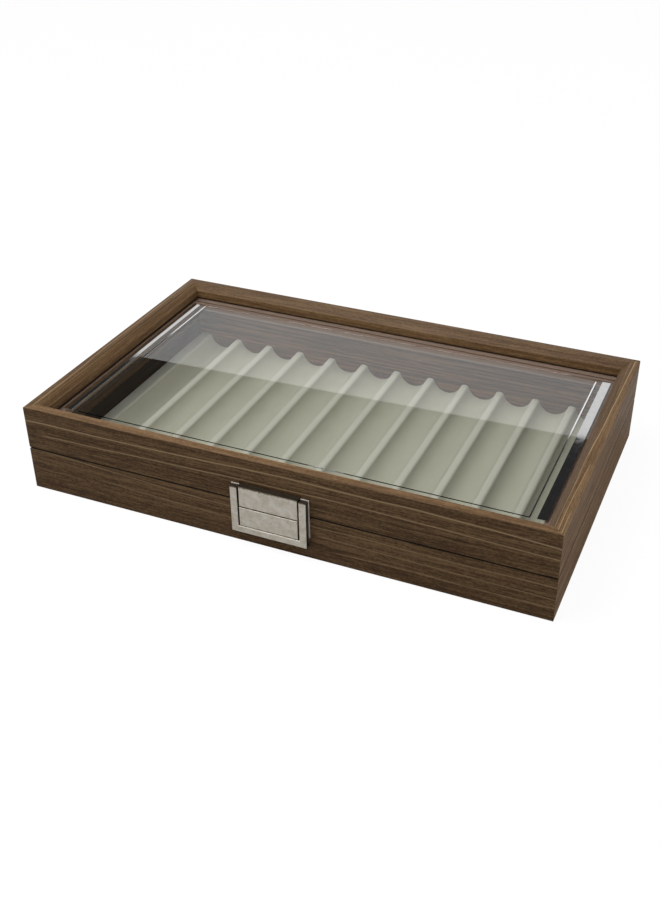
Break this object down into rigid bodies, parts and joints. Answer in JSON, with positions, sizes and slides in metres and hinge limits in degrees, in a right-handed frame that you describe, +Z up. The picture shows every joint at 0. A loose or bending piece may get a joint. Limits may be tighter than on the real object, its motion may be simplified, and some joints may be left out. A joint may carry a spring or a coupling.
{
  "type": "pen display chest",
  "caption": "Flat hinged display box for pens: mitred wood-grain frame, recessed glass lid, scalloped pen tray and a push-button clasp.",
  "frame": {"origin": "middle of the underside, on the surface the chest stands on", "axes": "+X to the right along the front, +Y to the back where the hinges are, +Z up"},
  "size_m": [0.345, 0.2195, 0.06],
  "materials": {
    "wood_film": "walnut-coloured wood-grain film on board, satin",
    "wood_bead": "satin film-wrapped bead",
    "board": "plain fibreboard",
    "felt": "thin black felt",
    "tray_core": "grooved board",
    "tray_cover": "grey-green velvet-like cover",
    "glass": "clear float glass, ground edges",
    "bright_strip": "polished bright",
    "spring_steel": "plain",
    "screw": "nickel plated",
    "hinge_metal": "nickel plated, satin",
    "clasp_metal": "nickel plated, satin"
  },
  "bodies": {
    "base": {"base_front_wall": "wood_film", "base_back_wall": "wood_film", "base_left_wall": "wood_film", "base_right_wall": "wood_film", "base_felt": "felt", "base_floor_panel": "board", "tray_core": "tray_core", "tray_cover": "tray_cover", "hinge_base_leaf_left": "hinge_metal", "hinge_base_leaf_right": "hinge_metal", "hinge_pin_left": "hinge_metal", "hinge_pin_right": "hinge_metal", "hinge_base_screws": "screw", "clasp_housing": "clasp_metal", "clasp_housing_screws": "screw", "catch_spring": "spring_steel"},
    "lid": {"lid_front_rail": "wood_film", "lid_back_rail": "wood_film", "lid_left_rail": "wood_film", "lid_right_rail": "wood_film", "glazing_bead_front": "wood_bead", "glazing_bead_back": "wood_bead", "glazing_bead_left": "wood_bead", "glazing_bead_right": "wood_bead", "glass_pane": "glass", "bright_strip_left": "bright_strip", "bright_strip_right": "bright_strip", "hinge_lid_leaf_left": "hinge_metal", "hinge_lid_leaf_right": "hinge_metal", "hinge_lid_screws": "screw", "clasp_strike": "clasp_metal", "clasp_strike_screws": "screw"},
    "clasp_button": {"clasp_button": "clasp_metal"}
  },
  "joints": [
    {"name": "lid_hinge", "type": "hinge", "parent": "base", "child": "lid", "pos_m": [0, 0.107, 0.0302], "axis": [-1, 0, 0], "range_deg": [0, 100], "deforming": ["catch_spring"]},
    {"name": "clasp_button_press", "type": "slide", "parent": "base", "child": "clasp_button", "axis": [0, 1, 0], "range_m": [0, 0.0016], "stiffness_N_per_m": 400, "springref_m": -0.001, "deforming": ["catch_spring"]}
  ]
}
